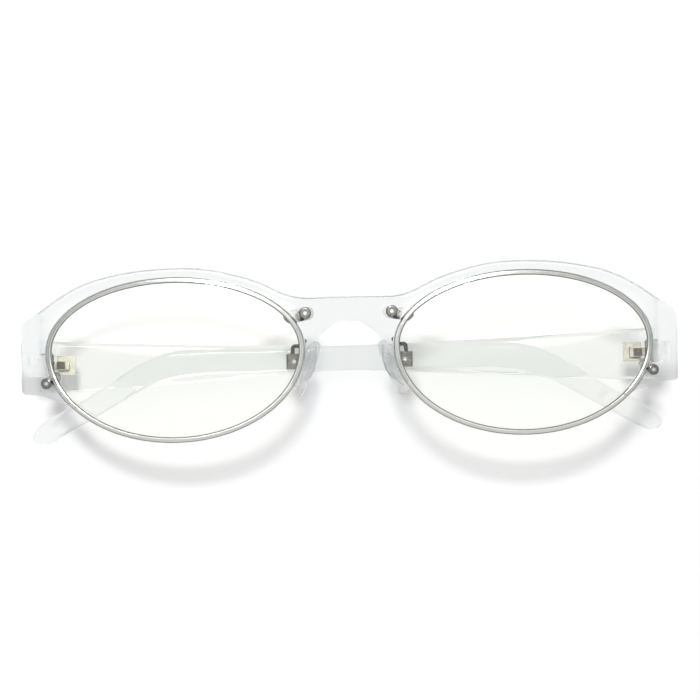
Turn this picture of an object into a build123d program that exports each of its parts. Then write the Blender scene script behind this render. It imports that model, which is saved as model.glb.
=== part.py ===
from build123d import *
from math import cos, radians, sin, sqrt
import os

# Oval combination eyeglasses: a clear plastic brow and bridge over thin
# metal eyewires, with clear temples folded one behind the other.
# Millimetres.  +X is the wearer's left, +Y is towards the wearer, +Z is up.
# The model is drawn about the front's own datum: X = 0 between the lenses,
# Y = 0 near the front face of the bridge, Z = 0 on the line of lens centres.
# place() then stands each finished piece on Z = 0.
# Pieces named left are on the wearer's left; the right ones are mirrored.

# Lenses and eyewires
rim_width = 54.5            # eyewire, outside
rim_height = 34.5
bridge_gap = 18.8           # between the two eyewires
widest_line = 2.0           # the widest line lies this far above the centre
rim_face = 1.2              # eyewire seen from the front
rim_depth = 2.6
rim_round = 0.35            # its four long edges
groove_depth = 0.5
groove_width = 0.9
base_radius = 120.0         # sphere of the lens's front face
lens_thickness = 2.0
lens_setback = 1.2          # lens front behind the datum
rim_stand = 0.3             # the eyewire stands this far before the lens
wrap_angle = 4.5            # each lens is turned back at its outer side
fit_play = 0.03             # between fixed pieces that seat in each other
lens_play = 0.04
overrun = 30.0              # how far a cutting solid runs past what it cuts

lens_distance = rim_width + bridge_gap
eye_half = rim_width / 2
eye_rise = rim_height / 2
eye_middle = lens_distance / 2
eye_in = eye_middle - eye_half      # the eyewire's nose side
eye_out = eye_middle + eye_half     # its outer side
wrap = radians(wrap_angle)
ball_centre = (eye_middle - base_radius * sin(wrap), lens_setback + base_radius * cos(wrap), 0)


def over_eye(share):
    """Across: a share of the eye's half width from the lens centre."""
    return eye_middle + share * eye_half


def lens_depth(across):
    """How far back the lens's front face lies at a place across."""
    return ball_centre[1] - sqrt(base_radius**2 - (across - ball_centre[0]) ** 2)


def at_height(rows):
    """Points whose heights are given as shares of the eye's half height."""
    return [(across, share * eye_rise) for across, share in rows]


def before_lens(rows):
    """Plan points, each given by how far it lies before the lens's face."""
    return [(across, lens_depth(across) - cover) for across, cover in rows]


# Outline of the clear front, seen from before it. Heights are shares of the
# eye's half height, and places across are tied to the eye they belong to.
lip = 0.6                   # the front laps this far over the eyewire
brow_nose_shares = [(0.0, 0.719), (0.638, 0.716), (1.011, 0.719), (1.33, 0.7536)]
brow_eye_shares = [(-0.7064, 0.887), (-0.4826, 1.0087), (-0.244, 1.09), (-0.0239, 1.107),
                   (0.233, 1.087), (0.4936, 1.0232), (0.7431, 0.8957), (0.8789, 0.7768)]
shoulder_out = 1.5          # beyond the eyewire's outer side
shoulder_share = 0.5913
turn_out = 4.3
turn_share = 0.487
side_out = 5.1
side_top_share = 0.3826
side_foot_share = -0.3072
foot_out = 3.8
foot_share = -0.3826
root_out = 0.5
root_share = -0.3942
tip_share = 0.7468
tip_low_share = -0.5507
corner_share = 0.4899
corner_low_share = -0.1159
leg_top_out = 6.6           # from the eyewire's nose side
leg_foot_out = 1.8
leg_foot_share = -0.371
arch_shares = [(0.9255, -0.2667), (0.7979, -0.1681), (0.734, -0.029), (0.7021, 0.1739),
               (0.5532, 0.3072), (0.3085, 0.4), (0.0, 0.429)]
edge_round = 0.9            # the back top edge of the front
arch_round = 0.4            # the edges of the nose arch

side_x = eye_out + side_out
top_edge = at_height([(share * eye_in, height) for share, height in brow_nose_shares])
top_edge += at_height([(over_eye(share), height) for share, height in brow_eye_shares])
shoulder = at_height([(eye_out + shoulder_out, shoulder_share), (eye_out + turn_out, turn_share)])
side_top = (side_x, side_top_share * eye_rise)
side_foot = (side_x, side_foot_share * eye_rise)
foot_corner = (eye_out + foot_out, foot_share * eye_rise)
tongue_root = (eye_out + root_out, root_share * eye_rise)
tongue_tip = (over_eye(tip_share), tip_low_share * eye_rise)
inside_corner = (over_eye(corner_share), corner_low_share * eye_rise)
inside_leg = (eye_in + leg_top_out, corner_low_share * eye_rise)
leg_foot = (eye_in + leg_foot_out, leg_foot_share * eye_rise)
arch_edge = at_height([(share * eye_in, height) for share, height in arch_shares])

# The front seen from above: how far its front face lies before the lens's
# face, and how far its back face lies behind it, at places across.
leg_reach = 3.1             # from the eyewire's nose side
middle_cover = 3.66
nose_cover = 1.54
brow_covers = [(-0.4275, 1.3), (0.0, 1.3), (0.4899, 1.41), (0.7835, 1.44), (0.967, 1.34)]
end_reach = 2.3             # beyond the eyewire's outer side
end_cover = 1.13
turn_cover = 0.74
side_depth = 0.67
block_reach = 1.1           # inner side of the end block
block_root = 2.07
brow_depths = [(0.8569, 2.51), (0.4899, 2.59), (0.0, 2.7), (-0.4275, 2.65)]
nose_depth_back = 2.46
middle_depth = 0.34

block_inner = eye_out + block_reach
face_line = before_lens([(0.0, middle_cover), (eye_in + leg_reach, nose_cover)])
face_line += before_lens([(over_eye(share), cover) for share, cover in brow_covers])
face_line += before_lens([(eye_out + end_reach, end_cover)])
side_line = before_lens([(eye_out + turn_out, turn_cover), (side_x, -side_depth)])
back_line = before_lens([(block_inner, -block_root)])
back_line += before_lens([(over_eye(share), -depth) for share, depth in brow_depths])
back_line += before_lens([(eye_in + leg_reach, -nose_depth_back), (0.0, -middle_depth)])

# Screws that hold the front to the eyewires
bridge_screw_in = 0.4       # from the eyewire's nose side, to the nose
bridge_screw_share = 0.5275
bridge_screw_cover = 1.96
bridge_head_radius = 1.25
bridge_screw_length = 6.0
corner_screw_in = 0.45      # inside the eyewire's outer side
corner_screw_share = -0.2493
corner_screw_cover = 1.53
corner_screw_turn = 6.0
corner_head_radius = 1.12
corner_screw_length = 5.2
head_height = 0.75
head_sunk = 0.45
head_round = 0.3
shank_radius = 0.6
slot_width = 0.3
slot_depth = 0.25
lug_thickness = 0.9
lug_radius = 1.35
bridge_lug_turn = 154.2     # where on the eyewire each tab is rooted
corner_lug_turn = -16.3

# Where each eyewire is closed
closing_turn = radians(-38.0)
closing_gap = 0.2
ear_length = 1.3
ear_width = 1.6
ear_depth = 1.2
ear_bite = 0.8
lock_radius = 0.32
lock_head_radius = 0.5
lock_head_height = 0.3

# Nose pads, placed from the eyewire's nose side and the lens's face there
pad_in = 0.3
pad_back = 6.84
pad_height = -2.6
pad_lean = radians(22.0)    # the pad's top leans to the nose
pad_splay = radians(12.0)   # the pad's back edge stands further out
pad_length = 12.4
pad_width = 7.4
pad_thickness = 2.0
pad_round = 0.75
insert_length = 6.4
insert_width = 3.6
insert_thickness = 0.6
insert_front = 0.1          # insert's nose side from the pad's mid plane
box_out = 2.6
box_level = -0.9
box_width = 2.6
box_depth = 2.8
box_height = 3.2
box_side_wall = 0.7
box_end_wall = 0.55
pad_axis_out = 2.3
stub_width = 1.2
stub_radius = 0.9
pad_screw_radius = 0.4
pad_head_radius = 0.95
pad_head_height = 0.45
running_play = 0.05
arm_radius = 0.42
arm_bend = 0.6
arm_root_out = 0.8
arm_root_back = 1.9
arm_root_share = 0.2029
arm_bow_in = 0.2
arm_bow_back = 3.84
arm_bow_height = 3.4
arm_turn_out = 0.5
arm_turn_back = 5.44
arm_run_out = 2.5
arm_run_back = 6.44
arm_low = 2.3

nose_depth = lens_depth(eye_in)
pad_centre = (eye_in - pad_in, nose_depth + pad_back, pad_height)
box_middle = (eye_in + box_out, nose_depth + pad_back, box_level)
arm_line = [
    (eye_in + arm_root_out, nose_depth + arm_root_back, arm_root_share * eye_rise),
    (eye_in - arm_bow_in, nose_depth + arm_bow_back, arm_bow_height),
    (eye_in + arm_turn_out, nose_depth + arm_turn_back, arm_low),
    (eye_in + arm_run_out, nose_depth + arm_run_back, arm_low),
    (box_middle[0], box_middle[1], box_level + box_height / 2 + fit_play),
]

# Hinges, placed from the eyewire's outer side and the lens's face there
hinge_in = 0.3
hinge_depth = 7.73
hinge_height = -0.6
block_stop = 1.0            # the end block ends this far before the axis
barrel_radius = 1.2
end_knuckle = 1.2
mid_knuckle = 1.9
knuckle_gap = 0.1
pin_radius = 0.5
pin_head_radius = 0.95
pin_head_height = 0.4
leaf_inner = 0.8            # the front leaf's places from the axis
leaf_step = 0.3
leaf_reach = 3.4
leaf_front = 2.1
leaf_heel = 0.6
temple_leaf_reach = 4.3
temple_leaf_start = 0.4
temple_anchor_near = 1.8
temple_anchor_far = 5.6
temple_anchor_depth = 1.3
temple_anchor_height = 4.1

hinge_across = eye_out - hinge_in
hinge_back = lens_depth(hinge_across) + hinge_depth
block_back = hinge_back - block_stop
leaf_back = block_stop + fit_play

# Temples, drawn folded and parallel to the front. Each row is the distance
# from the hinge and the height as a share of the eye's half height.
temple_thickness = 3.4
temple_inner = 1.6          # inner face from the hinge axis
temple_round = 0.85
temple_end = 0.7            # the temple starts this far outside the axis
temple_top_rows = [(-temple_end, 0.2609), (29.6, 0.1797), (63.6, 0.1275), (93.6, 0.1217),
                   (101.1, 0.0986), (107.9, -0.0464), (113.7, -0.2493), (123.0, -0.5623),
                   (126.8, -0.6667), (129.6, -0.7826), (131.0, -0.9159)]
temple_tip_rows = [(130.0, -0.9855), (128.9, -1.0), (127.6, -1.0)]
temple_low_rows = [(126.2, -0.9623), (121.2, -0.7942), (113.6, -0.5507), (107.1, -0.3478),
                   (100.1, -0.2261), (89.6, -0.1855), (63.6, -0.1768), (29.6, -0.2899),
                   (-temple_end, -0.371)]
left_lean = 2.0             # the inner temple folds a little past parallel
right_lean = 3.0            # the outer one lies a little short of it

# Stance
eye_height = rim_height / 2
lean_reach = 3.219          # half of what the outer temple's lean adds to the depth
setback = (face_line[3][1] + hinge_back + temple_inner + temple_thickness) / 2 + lean_reach


# Shared planes
eye_plane = Plane(
    origin=(eye_middle, lens_setback, 0),
    x_dir=(cos(wrap), sin(wrap), 0),
    z_dir=(sin(wrap), -cos(wrap), 0),
)
front_plane = Plane(origin=(0, 0, 0), x_dir=(1, 0, 0), z_dir=(0, -1, 0))
rim_front = base_radius + rim_stand
rim_back = rim_front - rim_depth
groove_mid = base_radius - lens_thickness / 2


def place(piece, name):
    """Stand a finished piece on the floor, name it and write it."""
    piece.part = piece.part.moved(Location((0, -setback, eye_height)))
    piece.part.label = name
    export_step(piece.part, f"parts/{name}.step")
    box = piece.part.bounding_box()
    print(f"{name:22s} {len(piece.solids())} solid {piece.part.volume:9.2f} mm3", box.min, box.max)


def mirrored(piece):
    """The same piece on the wearer's right."""
    with BuildPart() as other:
        mirror(piece.part, about=Plane.YZ)
    return other


def turned(piece, axis, angle):
    """The same piece swung about an axis."""
    with BuildPart() as swung:
        add(piece.part.rotate(axis, angle))
    return swung


def eye_outline(inset):
    """The lens outline, drawn in by inset: four quarter ellipses."""
    across = eye_half - inset
    rise = eye_rise - widest_line - inset
    drop = eye_rise + widest_line - inset
    with BuildSketch(eye_plane) as outline:
        with BuildLine():
            for start, height in [(0, rise), (90, rise), (180, drop), (270, drop)]:
                EllipticalCenterArc((0, widest_line), across, height, start_angle=start, arc_size=90)
        make_face()
    return outline.sketch


def eye_prism(inset):
    """The lens outline drawn straight through."""
    with BuildPart() as prism:
        extrude(eye_outline(inset), amount=overrun, both=True)
    return prism.part


def eye_shell(inset, outer_radius, inner_radius):
    """A slice of the lens outline between two spheres on the lens axis."""
    with BuildPart() as shell:
        add(eye_prism(inset))
        with Locations(ball_centre):
            Sphere(radius=outer_radius, mode=Mode.INTERSECT)
            Sphere(radius=inner_radius, mode=Mode.SUBTRACT)
    return shell.part


# Lens, with the bevel that seats in the eyewire's groove
bevel_half = groove_width / 2 - lens_play
with BuildPart() as left_lens:
    add(eye_shell(rim_face + lens_play, base_radius, base_radius - lens_thickness))
    add(eye_shell(rim_face - groove_depth + lens_play, groove_mid + bevel_half, groove_mid - bevel_half))


def on_eyewire(turn):
    """A place on the eyewire's middle line, in the lens plane."""
    half = eye_rise - rim_face / 2
    height = half - widest_line if sin(turn) > 0 else half + widest_line
    return ((eye_half - rim_face / 2) * cos(turn), widest_line + height * sin(turn))


# Eyewire: a grooved ring, split, with an ear on each side of the split
closing_u, closing_v = on_eyewire(closing_turn)
closing_w = sqrt(rim_back**2 - closing_u**2 - closing_v**2) - base_radius
run = Vector(-rim_width * sin(closing_turn), (rim_height + 2 * widest_line) * cos(closing_turn), 0)
along = eye_plane.x_dir * run.normalized().X + eye_plane.y_dir * run.normalized().Y
ear_middle = eye_plane.from_local_coords((closing_u, closing_v, closing_w - (ear_depth - ear_bite) / 2))
lock_middle = eye_plane.from_local_coords((closing_u, closing_v, closing_w - ear_depth / 2))
ear_plane = Plane(origin=ear_middle, x_dir=along, z_dir=eye_plane.z_dir)
lock_plane = Plane(origin=lock_middle, x_dir=eye_plane.z_dir, z_dir=along)
groove = eye_shell(rim_face - groove_depth, groove_mid + groove_width / 2, groove_mid - groove_width / 2)
sight = eye_prism(rim_face)
with BuildPart() as left_rim:
    add(eye_shell(0, rim_front, rim_back))
    add(sight, mode=Mode.SUBTRACT)
    fillet(left_rim.edges(), rim_round)
    with Locations(ear_plane.location):
        Box(2 * ear_length, ear_width, ear_depth + ear_bite)
        Box(closing_gap, overrun / 4, overrun / 4, mode=Mode.SUBTRACT)
    add(sight, mode=Mode.SUBTRACT)
    add(groove, mode=Mode.SUBTRACT)
    with Locations(lock_plane.location):
        Cylinder(radius=lock_radius + fit_play, height=4 * ear_length, mode=Mode.SUBTRACT)

with BuildPart() as left_lock_screw:
    with Locations(lock_plane.location):
        Cylinder(radius=lock_radius, height=2 * ear_length)
    with Locations(lock_plane.offset(ear_length).location):
        Cylinder(radius=lock_head_radius, height=lock_head_height,
                 align=(Align.CENTER, Align.CENTER, Align.MIN))

# The four screws and the tabs behind them
corner_turn = radians(corner_screw_turn)
corner_screw_across = eye_out - corner_screw_in
corner_screw_plane = Plane(
    origin=(corner_screw_across, lens_depth(corner_screw_across) - corner_screw_cover,
            corner_screw_share * eye_rise),
    x_dir=(cos(corner_turn), sin(corner_turn), 0),
    z_dir=(sin(corner_turn), -cos(corner_turn), 0),
)
bridge_screw_across = eye_in - bridge_screw_in
bridge_screw_plane = Plane(
    origin=(bridge_screw_across, lens_depth(bridge_screw_across) - bridge_screw_cover,
            bridge_screw_share * eye_rise),
    x_dir=(1, 0, 0),
    z_dir=(0, -1, 0),
)


def screw(plane, head_radius, length):
    """A slotted screw with a rounded head that seats below the plane."""
    with BuildPart() as made:
        with BuildSketch(plane.offset(-head_sunk)):
            Circle(head_radius)
        extrude(amount=head_height)
        crown = made.faces().sort_by(Axis(plane.origin, plane.z_dir))[-1]
        fillet(crown.edges(), head_round)
        with BuildSketch(plane.offset(-head_sunk)):
            Circle(shank_radius)
        extrude(amount=head_height - length)
        with BuildSketch(plane.offset(head_height - head_sunk)):
            Rectangle(slot_width, 4 * head_radius)
        extrude(amount=-slot_depth, mode=Mode.SUBTRACT)
    return made


def screw_seat(plane, head_radius):
    """The hole and the sunk seat that such a screw needs."""
    with BuildPart() as seat:
        with BuildSketch(plane.offset(-overrun / 3)):
            Circle(shank_radius + fit_play)
        extrude(amount=overrun)
        with BuildSketch(plane.offset(-head_sunk)):
            Circle(head_radius + fit_play)
        extrude(amount=overrun / 3)
    return seat.part


def lug(root, screw_plane):
    """A flat tab on the back of the eyewire, reaching out to a screw."""
    end = eye_plane.to_local_coords(screw_plane.origin)
    with BuildPart() as tab:
        with BuildSketch(eye_plane):
            with Locations(root, (end.X, end.Y)):
                Circle(lug_radius)
            make_hull()
        extrude(amount=overrun, both=True)
        with Locations(ball_centre):
            Sphere(radius=rim_back, mode=Mode.INTERSECT)
            Sphere(radius=rim_back - lug_thickness, mode=Mode.SUBTRACT)
        add(screw_seat(screw_plane, shank_radius), mode=Mode.SUBTRACT)
    return tab


left_bridge_screw = screw(bridge_screw_plane, bridge_head_radius, bridge_screw_length)
left_corner_screw = screw(corner_screw_plane, corner_head_radius, corner_screw_length)
left_bridge_lug = lug(on_eyewire(radians(bridge_lug_turn)), bridge_screw_plane)
left_corner_lug = lug(on_eyewire(radians(corner_lug_turn)), corner_screw_plane)

# Hinge: two knuckles on the front, one on the temple, and a pin
hinge_plane = Plane(origin=(hinge_across, hinge_back, hinge_height))
hinge_axis = Axis(hinge_plane.origin, (0, 0, 1))
stack = mid_knuckle / 2 + knuckle_gap + end_knuckle
front_leaf = [(-leaf_inner, -leaf_heel), (-leaf_step, -leaf_front), (leaf_reach, -leaf_front),
              (leaf_reach, -leaf_back), (leaf_inner, -leaf_back), (leaf_inner, -leaf_heel)]
with BuildPart() as left_front_hinge:
    with Locations(hinge_plane.location):
        Cylinder(radius=barrel_radius, height=2 * stack)
    with BuildSketch(hinge_plane.offset(-stack)):
        with BuildLine():
            Polyline(*front_leaf, close=True)
        make_face()
    extrude(amount=2 * stack)
    with Locations(hinge_plane.location):
        Cylinder(radius=barrel_radius + running_play + knuckle_gap, height=mid_knuckle + 2 * knuckle_gap,
                 mode=Mode.SUBTRACT)
        Cylinder(radius=pin_radius + fit_play, height=4 * stack, mode=Mode.SUBTRACT)

with BuildPart() as left_hinge_screw:
    with Locations(hinge_plane.location):
        Cylinder(radius=pin_radius, height=2 * stack)
    with Locations(hinge_plane.offset(stack).location):
        Cylinder(radius=pin_head_radius, height=pin_head_height,
                 align=(Align.CENTER, Align.CENTER, Align.MIN))
    with BuildSketch(hinge_plane.offset(stack + pin_head_height)):
        Rectangle(4 * pin_head_radius, slot_width)
    extrude(amount=-slot_depth, mode=Mode.SUBTRACT)

anchor_plane = front_plane.offset(-hinge_back - temple_inner)
anchor_middle = (hinge_across - (temple_anchor_near + temple_anchor_far) / 2, hinge_height)
anchor_length = temple_anchor_far - temple_anchor_near
with BuildPart() as straight_hinge:
    with Locations(hinge_plane.location):
        Cylinder(radius=barrel_radius, height=mid_knuckle)
    with BuildSketch(hinge_plane.offset(-mid_knuckle / 2)):
        with BuildLine():
            Polyline((0, temple_leaf_start), (0, temple_inner), (-temple_leaf_reach, temple_inner),
                     (-temple_leaf_reach, temple_leaf_start), close=True)
        make_face()
    extrude(amount=mid_knuckle)
    with BuildSketch(anchor_plane):
        with Locations(anchor_middle):
            Rectangle(anchor_length, temple_anchor_height)
    extrude(amount=-temple_anchor_depth)
    with Locations(hinge_plane.location):
        Cylinder(radius=pin_radius + running_play, height=4 * stack, mode=Mode.SUBTRACT)

# Temple: one clear plate with rounded edges and a paddle tip
temple_top, temple_tip, temple_low = (
    at_height([(hinge_across - distance, height) for distance, height in rows])
    for rows in (temple_top_rows, temple_tip_rows, temple_low_rows)
)
with BuildPart() as straight_temple:
    with BuildSketch(anchor_plane):
        with BuildLine():
            Spline(*temple_top)
            Polyline(temple_top[-1], *temple_tip, temple_low[0])
            Spline(*temple_low)
            Line(temple_low[-1], temple_top[0])
        make_face()
    extrude(amount=-temple_thickness)
    sides = straight_temple.faces().sort_by(Axis.Y)
    rims = sides[0].edges() + sides[-1].edges()
    fillet([edge for edge in rims if edge.length > temple_thickness * 4], temple_round)
    with BuildSketch(anchor_plane):
        with Locations(anchor_middle):
            Rectangle(anchor_length + 2 * fit_play, temple_anchor_height + 2 * fit_play)
    extrude(amount=-temple_anchor_depth - fit_play, mode=Mode.SUBTRACT)

left_temple = turned(straight_temple, hinge_axis, left_lean)
left_temple_hinge = turned(straight_hinge, hinge_axis, left_lean)
far_axis = Axis((-hinge_across, hinge_back, hinge_height), (0, 0, 1))
right_temple = turned(mirrored(straight_temple), far_axis, right_lean)
right_temple_hinge = turned(mirrored(straight_hinge), far_axis, right_lean)

# Nose pad on a rocking insert, held in a box on a bent arm
lean_up = Vector(-sin(pad_lean), 0, cos(pad_lean))
splay_back = Vector(sin(pad_splay), cos(pad_splay), 0)
pad_plane = Plane(origin=pad_centre, x_dir=lean_up, z_dir=lean_up.cross(splay_back))
pad_axis_plane = Plane(
    origin=(eye_in + pad_axis_out, box_middle[1], box_middle[2]), x_dir=(1, 0, 0), z_dir=(0, -1, 0)
)
with BuildPart() as left_pad_insert:
    with BuildSketch(pad_plane.offset(insert_front)):
        Ellipse(insert_length / 2, insert_width / 2)
    extrude(amount=-insert_thickness)
    with BuildSketch(pad_axis_plane.offset(-stub_width / 2)):
        with Locations((0, 0), (-pad_in - pad_axis_out, 0)):
            Circle(stub_radius)
        make_hull()
    extrude(amount=stub_width)
    with BuildSketch(pad_plane.offset(insert_front)):
        Rectangle(overrun, overrun)
    extrude(amount=overrun, mode=Mode.SUBTRACT)
    with Locations(pad_axis_plane.location):
        Cylinder(radius=pad_screw_radius + running_play, height=4 * stub_width, mode=Mode.SUBTRACT)

with BuildPart() as left_nose_pad:
    with BuildSketch(pad_plane.offset(-pad_thickness / 2)):
        Ellipse(pad_length / 2, pad_width / 2)
    extrude(amount=pad_thickness)
    fillet(left_nose_pad.edges(), pad_round)
    add(left_pad_insert.part, mode=Mode.SUBTRACT)

box_plane = Plane(origin=box_middle)
with BuildPart() as left_pad_box:
    with Locations(box_plane.location):
        Box(box_width, box_depth, box_height)
    fillet(left_pad_box.edges().filter_by(Axis.Z), head_round)
    with Locations((box_middle[0] - box_end_wall, box_middle[1], box_middle[2])):
        Box(box_width, box_depth - 2 * box_side_wall, overrun, mode=Mode.SUBTRACT)
    with Locations(pad_axis_plane.location):
        Cylinder(radius=pad_screw_radius + fit_play, height=4 * box_depth, mode=Mode.SUBTRACT)

with BuildPart() as left_pad_screw:
    with Locations(pad_axis_plane.location):
        Cylinder(radius=pad_screw_radius, height=box_depth)
    with BuildSketch(pad_axis_plane.offset(box_depth / 2)):
        Circle(pad_head_radius)
    extrude(amount=pad_head_height)
    with BuildSketch(pad_axis_plane.offset(box_depth / 2 + pad_head_height)):
        Rectangle(4 * pad_head_radius, slot_width)
    extrude(amount=-slot_depth, mode=Mode.SUBTRACT)

with BuildPart() as left_pad_arm:
    with BuildLine() as arm_path:
        FilletPolyline(*arm_line, radius=arm_bend)
    arm_start = Plane(origin=arm_path.line @ 0, z_dir=arm_path.line % 0)
    with BuildSketch(arm_start):
        Circle(arm_radius)
    sweep(path=arm_path.line)
    add(left_rim.part, mode=Mode.SUBTRACT)

# Seat in the end block for the front half of the hinge
with BuildPart() as leaf_seat:
    with BuildSketch(hinge_plane.offset(-stack - fit_play)):
        with Locations((0, -leaf_front - fit_play)):
            Rectangle(leaf_reach + fit_play, leaf_front + fit_play, align=(Align.MIN, Align.MIN))
    extrude(amount=2 * stack + 2 * fit_play)

# Clear front: brow, bridge, legs and end pieces in one piece
with BuildPart() as pocket:
    add(eye_prism(-fit_play))
    with Locations(ball_centre):
        Sphere(radius=rim_front + fit_play, mode=Mode.INTERSECT)
front_cuts = [
    eye_prism(lip),
    pocket.part,
    screw_seat(bridge_screw_plane, bridge_head_radius),
    screw_seat(corner_screw_plane, corner_head_radius),
    leaf_seat.part,
]
with BuildPart() as front_frame:
    with BuildSketch(front_plane.offset(-overrun)):
        with BuildLine():
            Spline(*top_edge, tangents=((1, 0), (0.85, -0.5)))
            Spline(top_edge[-1], *shoulder, side_top, tangents=((0.85, -0.5), (0, -1)))
            Line(side_top, side_foot)
            Spline(side_foot, foot_corner, tangents=((0, -1), (-1, 0)))
            Polyline(foot_corner, tongue_root, tongue_tip, inside_corner, inside_leg, leg_foot)
            Spline(leg_foot, *arch_edge, tangents=((-1, 0.7), (-1, 0)))
            Line(arch_edge[-1], top_edge[0])
        make_face()
        mirror(about=Plane.YZ)
    extrude(amount=2 * overrun)
    with BuildSketch(Plane.XY.offset(-overrun)):
        with BuildLine():
            Spline(*face_line, tangents=((1, 0), (0.9, 0.36)))
            Spline(face_line[-1], *side_line, tangents=((0.9, 0.36), (0, 1)))
            Polyline(side_line[-1], (side_x, block_back), (block_inner, block_back), back_line[0])
            Spline(*back_line, tangents=((-0.95, -0.3), (-1, 0)))
            Line(back_line[-1], face_line[0])
        make_face()
        mirror(about=Plane.YZ)
    extrude(amount=2 * overrun, mode=Mode.INTERSECT)
    long_edges = front_frame.edges().sort_by(SortBy.LENGTH)
    fillet(long_edges[-2], edge_round)
    arch_edges = front_frame.edges().filter_by(
        lambda edge: abs(edge.center().X) < fit_play and edge.center().Z < arch_edge[-1][1] + fit_play
    )
    fillet(arch_edges, arch_round)
    for cut in front_cuts:
        add(cut, mode=Mode.SUBTRACT)
        mirror(cut, about=Plane.YZ, mode=Mode.SUBTRACT)

os.makedirs("parts", exist_ok=True)
for label, piece in (
    ("lens", left_lens),
    ("rim", left_rim),
    ("lock_screw", left_lock_screw),
    ("bridge_screw", left_bridge_screw),
    ("corner_screw", left_corner_screw),
    ("bridge_lug", left_bridge_lug),
    ("corner_lug", left_corner_lug),
    ("front_hinge", left_front_hinge),
    ("hinge_screw", left_hinge_screw),
    ("nose_pad", left_nose_pad),
    ("pad_insert", left_pad_insert),
    ("pad_box", left_pad_box),
    ("pad_screw", left_pad_screw),
    ("pad_arm", left_pad_arm),
):
    place(mirrored(piece), f"right_{label}")
    place(piece, f"left_{label}")
for label, piece in (
    ("front_frame", front_frame),
    ("left_temple", left_temple),
    ("left_temple_hinge", left_temple_hinge),
    ("right_temple", right_temple),
    ("right_temple_hinge", right_temple_hinge),
):
    place(piece, label)
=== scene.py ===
"""Looks for one pair of folded oval combination eyeglasses.

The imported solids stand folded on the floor: the clear front faces -Y, the
wearer's left is +X, and +Z is up. This script gives every piece its finish,
sets a plain pale stage under soft light, and puts the camera straight before
the front, as in the photograph.
"""

import logging
import math
from dataclasses import dataclass, field
from enum import Enum
import bpy
from mathutils import Matrix, Vector


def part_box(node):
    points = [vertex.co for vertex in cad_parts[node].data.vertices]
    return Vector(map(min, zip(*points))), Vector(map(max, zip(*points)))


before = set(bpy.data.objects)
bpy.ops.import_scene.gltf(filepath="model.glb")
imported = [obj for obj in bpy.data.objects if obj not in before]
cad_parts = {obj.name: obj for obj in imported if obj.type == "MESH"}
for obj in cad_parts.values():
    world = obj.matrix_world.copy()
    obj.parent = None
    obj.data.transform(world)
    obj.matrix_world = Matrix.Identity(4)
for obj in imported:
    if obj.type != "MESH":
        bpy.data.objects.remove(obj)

log = logging.getLogger("eyeglasses")
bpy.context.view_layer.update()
MM = 0.001
HALF = 0.5

Colour = tuple[float, float, float]
Socket = bpy.types.NodeSocket


class Side(Enum):
    """The wearer's sides."""

    LEFT = "left"
    RIGHT = "right"


class Grain(Enum):
    """How the fine marks of a metal surface run."""

    TUMBLED = "tumbled"
    DRAWN = "drawn"


class Nodes:
    """A short hand for wiring one material's or the world's nodes."""

    def __init__(self, tree: bpy.types.NodeTree) -> None:
        """Empty the tree and keep it.

        Args:
            tree: The node tree to fill.
        """
        tree.nodes.clear()
        self.tree = tree

    def add(self, kind: str, **settings: object) -> bpy.types.Node:
        """Add one node.

        Args:
            kind: Blender's name of the node's type, without "ShaderNode".
            settings: Properties of the node to set.

        Returns:
            The new node.
        """
        node = self.tree.nodes.new("ShaderNode" + kind)
        for name, value in settings.items():
            setattr(node, name, value)
        return node

    def link(self, source: Socket, target: Socket) -> None:
        """Join two sockets."""
        self.tree.links.new(source, target)

    def any_of(self, *sockets: Socket) -> Socket:
        """The largest of several yes-or-no sockets.

        Args:
            sockets: Sockets that are 0 or 1.

        Returns:
            A socket that is 1 where any of them is.
        """
        result = sockets[0]
        for other in sockets[1:]:
            either = self.add("Math", operation="MAXIMUM")
            self.link(result, either.inputs[0])
            self.link(other, either.inputs[1])
            result = either.outputs[0]
        return result

    def band(self, value: Socket, start: float, end: float) -> bpy.types.Node:
        """Ease from one level to another as a value grows.

        Args:
            value: The value to follow.
            start: Where the easing starts.
            end: Where it ends.

        Returns:
            The node, whose "To" sockets take the two levels.
        """
        ramp = self.add("MapRange", interpolation_type="SMOOTHSTEP")
        ramp.inputs["From Min"].default_value = start
        ramp.inputs["From Max"].default_value = end
        self.link(value, ramp.inputs["Value"])
        return ramp

    def spread(self, value: Socket, low: float, high: float) -> Socket:
        """Map a noise value of 0 to 1 onto a range.

        Args:
            value: The noise socket.
            low: The result at 0.
            high: The result at 1.

        Returns:
            The mapped value.
        """
        ramp = self.add("MapRange")
        ramp.inputs["To Min"].default_value = low
        ramp.inputs["To Max"].default_value = high
        self.link(value, ramp.inputs["Value"])
        return ramp.outputs["Result"]


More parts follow.
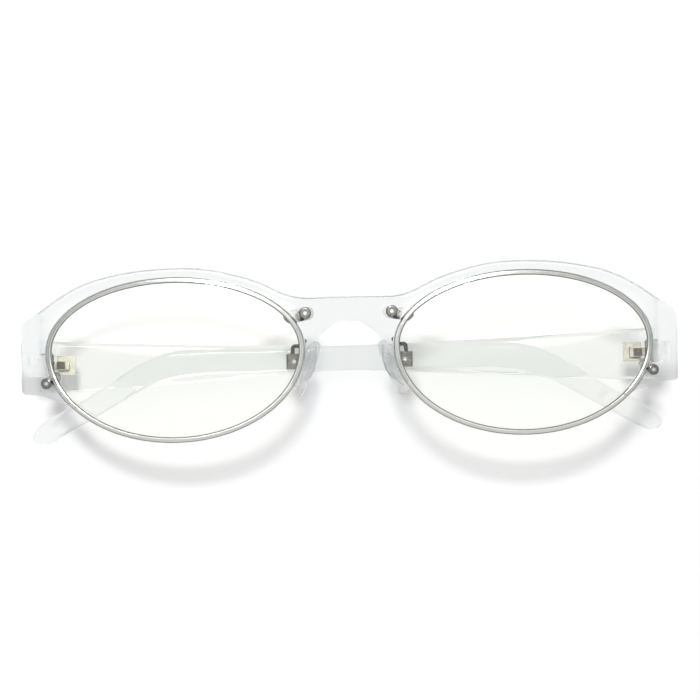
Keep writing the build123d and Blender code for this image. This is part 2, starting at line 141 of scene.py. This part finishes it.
@dataclass(frozen=True)
class ClearFinish:
    """Clear moulded plastic or lens glass.

    Sizes of the marks are in marks a metre.
    """

    name: str
    tint: Colour
    shade: Colour
    ior: float = 1.49
    smooth: float = 0.015
    worn: float = 0.06
    ripple_size: float = 160.0
    ripple_detail: float = 2.0
    ripple: float = 0.02
    ripple_depth: float = 1.0 * MM
    scuff_size: float = 2600.0
    scuff_detail: float = 5.0
    scuff: float = 0.01
    scuff_depth: float = 0.1 * MM
    clearness: float = 1.0
    gleam: float = 0.5
    body: float = 1.0

    def material(self) -> bpy.types.Material:
        """Make the material: refraction that lets the lamps through.

        Returns:
            The new material.
        """
        made = bpy.data.materials.new(self.name)
        made.use_nodes = True
        nodes = Nodes(made.node_tree)
        place = nodes.add("TexCoord").outputs["Object"]
        ripple = nodes.add("TexNoise")
        ripple.inputs["Scale"].default_value = self.ripple_size
        ripple.inputs["Detail"].default_value = self.ripple_detail
        scuff = nodes.add("TexNoise")
        scuff.inputs["Scale"].default_value = self.scuff_size
        scuff.inputs["Detail"].default_value = self.scuff_detail
        for noise in (ripple, scuff):
            nodes.link(place, noise.inputs["Vector"])
        flow = nodes.add("Bump")
        flow.inputs["Strength"].default_value = self.ripple
        flow.inputs["Distance"].default_value = self.ripple_depth
        nodes.link(ripple.outputs["Fac"], flow.inputs["Height"])
        marks = nodes.add("Bump")
        marks.inputs["Strength"].default_value = self.scuff
        marks.inputs["Distance"].default_value = self.scuff_depth
        nodes.link(scuff.outputs["Fac"], marks.inputs["Height"])
        nodes.link(flow.outputs["Normal"], marks.inputs["Normal"])
        body = nodes.add("BsdfPrincipled")
        body.inputs["Base Color"].default_value = (*self.tint, 1.0)
        body.inputs["IOR"].default_value = self.ior
        body.inputs["Transmission Weight"].default_value = self.clearness
        body.inputs["Specular IOR Level"].default_value = self.gleam
        body.inputs["Alpha"].default_value = self.body
        nodes.link(nodes.spread(scuff.outputs["Fac"], self.smooth, self.worn), body.inputs["Roughness"])
        nodes.link(marks.outputs["Normal"], body.inputs["Normal"])
        through = nodes.add("BsdfTransparent")
        through.inputs["Color"].default_value = (*self.shade, 1.0)
        either = nodes.add("MixShader")
        nodes.link(nodes.add("LightPath").outputs["Is Shadow Ray"], either.inputs["Fac"])
        nodes.link(body.outputs["BSDF"], either.inputs[1])
        nodes.link(through.outputs["BSDF"], either.inputs[2])
        nodes.link(either.outputs["Shader"], nodes.add("OutputMaterial").inputs["Surface"])
        return made


class PaintedSpotForm(Enum):
    """How a painted spot on a metal face is bounded."""

    ROUND = "round"
    SQUARE = "square"


@dataclass(frozen=True)
class PaintedSpot:
    """A spot of painted light in another tone, seen along Y: the highlights on the screw heads and the
    shade blocks in the hinge plates.

    The middle is given across and up, and the reaches are half sizes.
    """

    across: float
    up: float
    reach: float
    rise: float
    form: PaintedSpotForm = PaintedSpotForm.ROUND
    soft_from: float = 0.85

    def mask(self, nodes: Nodes, place: Socket) -> Socket:
        """Where the mark is.

        Args:
            nodes: The material's nodes.
            place: The object's coordinates.

        Returns:
            A socket that is 1 inside the mark and 0 outside it.
        """
        offset = nodes.add("VectorMath", operation="SUBTRACT")
        offset.inputs[1].default_value = (self.across, 0.0, self.up)
        nodes.link(place, offset.inputs[0])
        scaled = nodes.add("VectorMath", operation="MULTIPLY")
        scaled.inputs[1].default_value = (1.0 / self.reach, 0.0, 1.0 / self.rise)
        nodes.link(offset.outputs["Vector"], scaled.inputs[0])
        if self.form is PaintedSpotForm.ROUND:
            away = nodes.add("VectorMath", operation="LENGTH")
            nodes.link(scaled.outputs["Vector"], away.inputs[0])
            far = away.outputs["Value"]
        else:
            size = nodes.add("VectorMath", operation="ABSOLUTE")
            nodes.link(scaled.outputs["Vector"], size.inputs[0])
            parts = nodes.add("SeparateXYZ")
            nodes.link(size.outputs["Vector"], parts.inputs["Vector"])
            far = nodes.any_of(parts.outputs["X"], parts.outputs["Z"])
        edge = nodes.band(far, self.soft_from, 1.0)
        edge.inputs["To Min"].default_value = 1.0
        edge.inputs["To Max"].default_value = 0.0
        return edge.outputs["Result"]


@dataclass(frozen=True)
class MetalFinish:
    """Polished or turned bare metal."""

    name: str
    colour: Colour
    dull: Colour
    bright_rough: float = 0.12
    dull_rough: float = 0.3
    grain: Grain = Grain.TUMBLED
    grain_size: float = 1800.0
    grain_detail: float = 6.0
    drawn_stretch: tuple[float, float, float] = (0.25, 1.0, 1.0)
    broad_times: float = 9.0
    depth: float = 0.05
    mark_depth: float = 0.05 * MM
    # colour of the painted spots: a painted highlight on screws, painted shade on hinge plates
    painted_spot_colour: Colour = (0.7, 0.7, 0.68)

    def material(self, painted_spots: tuple[PaintedSpot, ...] = ()) -> bpy.types.Material:
        """Make the material, with fine wear in its colour and gloss, and any painted highlights and painted
        shade in a second tone.

        Args:
            painted_spots: The spots of painted highlight and painted shade that show in the finish's second
                tone.

        Returns:
            The new material.
        """
        made = bpy.data.materials.new(self.name)
        made.use_nodes = True
        nodes = Nodes(made.node_tree)
        mapping = nodes.add("Mapping")
        if self.grain is Grain.DRAWN:
            mapping.inputs["Scale"].default_value = self.drawn_stretch
        place = nodes.add("TexCoord").outputs["Object"]
        nodes.link(place, mapping.inputs["Vector"])
        fine = nodes.add("TexNoise")
        fine.inputs["Scale"].default_value = self.grain_size
        fine.inputs["Detail"].default_value = self.grain_detail
        broad = nodes.add("TexNoise")
        broad.inputs["Scale"].default_value = self.grain_size / self.broad_times
        for noise in (fine, broad):
            nodes.link(mapping.outputs["Vector"], noise.inputs["Vector"])
        tone = nodes.add("MixRGB")
        tone.inputs["Color1"].default_value = (*self.colour, 1.0)
        tone.inputs["Color2"].default_value = (*self.dull, 1.0)
        nodes.link(broad.outputs["Fac"], tone.inputs["Fac"])
        marks = nodes.add("Bump")
        marks.inputs["Strength"].default_value = self.depth
        marks.inputs["Distance"].default_value = self.mark_depth
        nodes.link(fine.outputs["Fac"], marks.inputs["Height"])
        body = nodes.add("BsdfPrincipled")
        body.inputs["Metallic"].default_value = 1.0
        shown = tone.outputs["Color"]
        # painted light: spots of painted highlight and painted shade mixed in as a second tone
        if painted_spots:
            painted_tone = nodes.add("MixRGB")
            painted_tone.inputs["Color2"].default_value = (*self.painted_spot_colour, 1.0)
            nodes.link(nodes.any_of(*(mark.mask(nodes, place) for mark in painted_spots)), painted_tone.inputs["Fac"])
            nodes.link(shown, painted_tone.inputs["Color1"])
            shown = painted_tone.outputs["Color"]
        nodes.link(shown, body.inputs["Base Color"])
        rough = nodes.spread(fine.outputs["Fac"], self.bright_rough, self.dull_rough)
        nodes.link(rough, body.inputs["Roughness"])
        nodes.link(marks.outputs["Normal"], body.inputs["Normal"])
        nodes.link(body.outputs["BSDF"], nodes.add("OutputMaterial").inputs["Surface"])
        return made


def dress(names: list[str], finish: bpy.types.Material) -> None:
    """Give CAD nodes a finish.

    Args:
        names: The nodes' names.
        finish: The material they get.
    """
    for name in names:
        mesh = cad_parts[name].data
        mesh.materials.clear()
        mesh.materials.append(finish)
        log.info("dressed %s in %s", name, finish.name)


@dataclass
class Finishes:
    """Every finish of the glasses, made once."""

    plastic: ClearFinish = ClearFinish(
        "clear_plastic", (0.8, 0.828, 0.832), (0.985, 0.99, 0.99), ior=1.33, ripple=0.06, body=0.54,
    )
    temple: ClearFinish = ClearFinish(
        "temple_plastic", (0.905, 0.915, 0.912), (0.975, 0.98, 0.98), ior=1.45,
    )
    lens: ClearFinish = ClearFinish(
        "lens_glass", (0.992, 1.0, 0.972), (0.985, 0.99, 0.975), ior=1.5, smooth=0.0, worn=0.02,
        ripple=0.0, scuff=0.002, gleam=0.1,
    )
    pad: ClearFinish = ClearFinish(
        "pad_plastic", (0.985, 0.99, 0.995), (0.93, 0.94, 0.95), ior=1.2, smooth=0.03, worn=0.1,
        ripple=0.0, body=0.3,
    )
    wire: MetalFinish = MetalFinish(
        "rim_metal", (0.65, 0.65, 0.62), (0.52, 0.52, 0.49), 0.1, 0.24, Grain.DRAWN,
    )
    screw: MetalFinish = MetalFinish(
        "screw_metal", (0.22, 0.215, 0.205), (0.12, 0.117, 0.112), 0.14, 0.3,
        # painted highlight: the bright middle of each screw head
        painted_spot_colour=(0.52, 0.52, 0.505),
    )
    holder: MetalFinish = MetalFinish(
        "pad_holder_metal", (0.1, 0.096, 0.088), (0.05, 0.047, 0.042), 0.16, 0.34,
        # painted highlight: the bright middle of each pad screw head
        painted_spot_colour=(0.36, 0.36, 0.35),
    )
    hinge: MetalFinish = MetalFinish(
        "hinge_metal", (0.225, 0.22, 0.19), (0.185, 0.18, 0.153), 0.5, 0.65,
        # painted shade: the dark block in each hinge plate
        painted_spot_colour=(0.03, 0.029, 0.02),
    )
    leaf: MetalFinish = MetalFinish(
        "leaf_metal", (0.305, 0.303, 0.3), (0.265, 0.263, 0.26), 0.5, 0.65,
    )
    # reach of the painted highlight on each screw head
    painted_highlight_reach: float = 0.42 * MM
    # size and inset of the painted shade block in each hinge plate
    painted_shade_block: tuple[float, float] = (1.0 * MM, 0.9 * MM)
    painted_shade_inset: float = 0.4 * MM
    made: dict[str, bpy.types.Material] = field(default_factory=dict)

    def painted_highlights(self) -> tuple[PaintedSpot, ...]:
        """The painted highlight in the middle of each screw head."""
        marks = []
        for side in Side:
            for piece in ("bridge_screw", "corner_screw", "pad_screw"):
                low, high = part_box(f"{side.value}_{piece}")
                marks.append(PaintedSpot((low[0] + high[0]) / 2, (low[2] + high[2]) / 2, self.painted_highlight_reach, self.painted_highlight_reach))
        return tuple(marks)

    def painted_shade_blocks(self) -> tuple[PaintedSpot, ...]:
        """The dark painted shade block in each temple's hinge plate, standing for a sunk recess."""
        marks = []
        for side in Side:
            low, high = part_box(f"{side.value}_temple_hinge")
            inward = -self.painted_shade_inset if side is Side.LEFT else self.painted_shade_inset
            middle = (low[0] + high[0]) / 2 + inward
            marks.append(PaintedSpot(middle, (low[2] + high[2]) / 2, *self.painted_shade_block, PaintedSpotForm.SQUARE))
        return tuple(marks)

    def build(self) -> None:
        """Make every material."""
        for finish in (self.plastic, self.temple, self.lens, self.pad, self.wire, self.leaf):
            self.made[finish.name] = finish.material()
        for finish in (self.screw, self.holder):
            # painted highlights on the screw heads
            self.made[finish.name] = finish.material(self.painted_highlights())
        # painted shade blocks on the hinge plates
        self.made[self.hinge.name] = self.hinge.material(self.painted_shade_blocks())


@dataclass
class Eye:
    """One lens in its eyewire, with the screws and tabs that hold it."""

    side: Side

    def dress(self, made: dict[str, bpy.types.Material]) -> None:
        """Give the eye's pieces their finishes.

        Args:
            made: The materials by name.
        """
        side = self.side.value
        dress([f"{side}_lens"], made["lens_glass"])
        dress([f"{side}_{piece}" for piece in ("rim", "bridge_lug", "corner_lug")], made["rim_metal"])
        screws = ("lock_screw", "bridge_screw", "corner_screw")
        dress([f"{side}_{piece}" for piece in screws], made["screw_metal"])


@dataclass
class NosePiece:
    """One nose pad with its core, box, screw and arm."""

    side: Side

    def dress(self, made: dict[str, bpy.types.Material]) -> None:
        """Give the nose piece its finishes.

        Args:
            made: The materials by name.
        """
        side = self.side.value
        dress([f"{side}_{piece}" for piece in ("nose_pad", "pad_insert")], made["pad_plastic"])
        holders = ("pad_box", "pad_screw", "pad_arm")
        dress([f"{side}_{piece}" for piece in holders], made["pad_holder_metal"])


@dataclass
class Temple:
    """One temple with its hinge."""

    side: Side

    def dress(self, made: dict[str, bpy.types.Material]) -> None:
        """Give the temple and hinge their finishes.

        Args:
            made: The materials by name.
        """
        side = self.side.value
        dress([f"{side}_temple"], made["temple_plastic"])
        dress([f"{side}_temple_hinge"], made["hinge_metal"])
        dress([f"{side}_front_hinge"], made["leaf_metal"])
        dress([f"{side}_hinge_screw"], made["screw_metal"])


@dataclass
class Studio:
    """The white paper that the folded glasses lie on, the lamp, surround and camera."""

    veil_reach: float = 1.2
    veil_place: Vector = field(default_factory=lambda: Vector((0.0, 15.0, 0.0)) * MM)
    veil_turn: float = math.radians(2.4)
    veil_colour: float = 0.95
    veil_share: float = 0.5
    # painted light: a glow on the paper in two soft pools behind the lenses
    painted_pool_glow: float = 0.44
    painted_pool_middle: tuple[float, float] = (36.9 * MM, 26.0 * MM)
    painted_pool_size: tuple[float, float] = (27.5 * MM, 8.5 * MM)
    painted_pool_soft_from: float = 0.8
    side_from: float = 0.35
    side_to: float = 0.85
    side_clear: float = 1.0
    side_gloss: float = 0.32
    sky_light: float = 0.12
    key_place: Vector = field(default_factory=lambda: Vector((-0.04, -1.0, 0.355)))
    key_size: float = 0.17
    key_power: float = 13.0
    view_width: float = 145.0 * MM
    distance: float = 575.0 * MM
    sensor: float = 36.0
    nearest: float = 0.01
    farthest: float = 20.0
    aim: Vector = field(default_factory=lambda: Vector((0.14, -12.5, 18.5)) * MM)
    roll: float = math.radians(1.35)

    def veil(self) -> None:
        """Hang thin white paper just behind the glasses, to catch their shadow, with painted light glowing
        in two pools behind the lenses.
        """
        bpy.ops.object.select_all(action="DESELECT")
        bpy.ops.mesh.primitive_plane_add(
            size=self.veil_reach, location=self.veil_place, rotation=(math.pi / 2, 0, self.veil_turn)
        )
        plane = bpy.context.object
        plane.name = "veil"
        made = bpy.data.materials.new("veil_paper")
        made.use_nodes = True
        nodes = Nodes(made.node_tree)
        paper = nodes.add("BsdfDiffuse")
        paper.inputs["Color"].default_value = (self.veil_colour,) * 3 + (1.0,)
        painted_glow = nodes.add("Emission")
        # painted light: the paper glows in the two pools behind the lenses
        nodes.link(nodes.spread(self.painted_light_pools(nodes), 0.0, self.painted_pool_glow), painted_glow.inputs["Strength"])
        lit = nodes.add("AddShader")
        nodes.link(paper.outputs["BSDF"], lit.inputs[0])
        nodes.link(painted_glow.outputs["Emission"], lit.inputs[1])
        clear = nodes.add("BsdfTransparent")
        either = nodes.add("MixShader")
        behind = nodes.add("NewGeometry").outputs["Backfacing"]
        nodes.link(nodes.spread(behind, self.veil_share, 0.0), either.inputs["Fac"])
        nodes.link(clear.outputs["BSDF"], either.inputs[1])
        nodes.link(lit.outputs["Shader"], either.inputs[2])
        nodes.link(either.outputs["Shader"], nodes.add("OutputMaterial").inputs["Surface"])
        plane.data.materials.append(made)

    def painted_light_pools(self, nodes: Nodes) -> Socket:
        """The two pools of painted light on the paper behind the lenses, which glow to lift the upper rims'
        shadow there to white.

        Args:
            nodes: The paper's nodes.

        Returns:
            A socket that is 1 in the pools, to the eye and in gloss and glass.
        """
        place = nodes.add("TexCoord").outputs["Object"]
        parts = nodes.add("SeparateXYZ")
        nodes.link(place, parts.inputs["Vector"])
        across = nodes.add("Math", operation="ABSOLUTE")
        nodes.link(parts.outputs["X"], across.inputs[0])
        offset = nodes.add("CombineXYZ")
        for axis, value, middle, size in zip(
            "XY", (across.outputs[0], parts.outputs["Y"]), self.painted_pool_middle, self.painted_pool_size
        ):
            moved = nodes.add("Math", operation="SUBTRACT")
            moved.inputs[1].default_value = middle
            nodes.link(value, moved.inputs[0])
            scaled = nodes.add("Math", operation="DIVIDE")
            scaled.inputs[1].default_value = size
            nodes.link(moved.outputs[0], scaled.inputs[0])
            nodes.link(scaled.outputs[0], offset.inputs[axis])
        away = nodes.add("VectorMath", operation="LENGTH")
        nodes.link(offset.outputs["Vector"], away.inputs[0])
        edge = nodes.band(away.outputs["Value"], self.painted_pool_soft_from, 1.0)
        edge.inputs["To Min"].default_value = 1.0
        edge.inputs["To Max"].default_value = 0.0
        path = nodes.add("LightPath").outputs
        seen = nodes.any_of(path["Is Camera Ray"], path["Is Glossy Ray"], path["Is Transmission Ray"])
        painted_pooled = nodes.add("Math", operation="MULTIPLY")
        nodes.link(edge.outputs["Result"], painted_pooled.inputs[0])
        nodes.link(seen, painted_pooled.inputs[1])
        return painted_pooled.outputs[0]

    def surround(self) -> None:
        """Make the world: white to the eye, softly banded in gloss, dim as a light."""
        world = bpy.data.worlds.new("surround")
        bpy.context.scene.world = world
        world.use_nodes = True
        nodes = Nodes(world.node_tree)
        path = nodes.add("LightPath").outputs
        split = nodes.add("SeparateXYZ")
        nodes.link(nodes.add("TexCoord").outputs["Generated"], split.inputs["Vector"])
        depth = nodes.add("Math", operation="ABSOLUTE")
        nodes.link(split.outputs["Y"], depth.inputs[0])
        sides = nodes.band(depth.outputs[0], self.side_from, self.side_to)
        side_level = nodes.spread(path["Is Glossy Ray"], self.side_clear, self.side_gloss)
        nodes.link(side_level, sides.inputs["To Min"])
        direct = nodes.add("Math", operation="LESS_THAN")
        direct.inputs[1].default_value = HALF
        nodes.link(path["Diffuse Depth"], direct.inputs[0])
        shown = nodes.add("Math", operation="MULTIPLY")
        nodes.link(nodes.any_of(path["Is Glossy Ray"], path["Is Transmission Ray"]), shown.inputs[0])
        nodes.link(direct.outputs[0], shown.inputs[1])
        gloss = nodes.add("MapRange")
        gloss.inputs["To Min"].default_value = self.sky_light
        nodes.link(shown.outputs[0], gloss.inputs["Value"])
        nodes.link(sides.outputs["Result"], gloss.inputs["To Max"])
        level = nodes.add("MapRange")
        nodes.link(path["Is Camera Ray"], level.inputs["Value"])
        nodes.link(gloss.outputs["Result"], level.inputs["To Min"])
        sky = nodes.add("Background")
        sky.inputs["Color"].default_value = (1.0, 1.0, 1.0, 1.0)
        nodes.link(level.outputs["Result"], sky.inputs["Strength"])
        nodes.link(sky.outputs["Background"], nodes.add("OutputWorld").inputs["Surface"])

    def lamp(self) -> None:
        """Hang the one soft lamp, above the camera."""
        data = bpy.data.lights.new("key", "AREA")
        data.shape = "SQUARE"
        data.size = self.key_size
        data.energy = self.key_power
        hung = bpy.data.objects.new("key", data)
        facing = (-self.key_place).to_track_quat("-Z", "Y")
        place = Matrix.Translation(self.aim + self.key_place)
        hung.matrix_world = place @ facing.to_matrix().to_4x4()
        bpy.context.scene.collection.objects.link(hung)

    def camera(self) -> None:
        """Put the camera square before the front, rolled as in the photograph."""
        data = bpy.data.cameras.new("camera")
        data.sensor_width = self.sensor
        data.lens = self.sensor * self.distance / self.view_width
        data.clip_start = self.nearest
        data.clip_end = self.farthest
        seen_from = bpy.data.objects.new("camera", data)
        right = Vector((math.cos(self.roll), 0.0, -math.sin(self.roll)))
        up = Vector((math.sin(self.roll), 0.0, math.cos(self.roll)))
        back = right.cross(up)
        turn = Matrix((right, up, back)).transposed().to_4x4()
        seen_from.matrix_world = Matrix.Translation(self.aim + back * self.distance) @ turn
        bpy.context.scene.collection.objects.link(seen_from)
        bpy.context.scene.camera = seen_from

    def build(self) -> None:
        """Make the whole stage."""
        self.veil()
        self.surround()
        self.lamp()
        self.camera()
        bpy.context.scene.view_settings.view_transform = "Standard"
        bpy.context.scene.cycles.caustics_refractive = False
        bpy.context.scene.cycles.caustics_reflective = False


def main() -> None:
    """Dress the glasses and build the stage around them."""
    logging.basicConfig(level=logging.INFO, format="%(message)s")
    finishes = Finishes()
    finishes.build()
    dress(["front_frame"], finishes.made["clear_plastic"])
    for side in Side:
        Eye(side).dress(finishes.made)
        NosePiece(side).dress(finishes.made)
        Temple(side).dress(finishes.made)
    Studio().build()


if __name__ == "__main__":
    main()
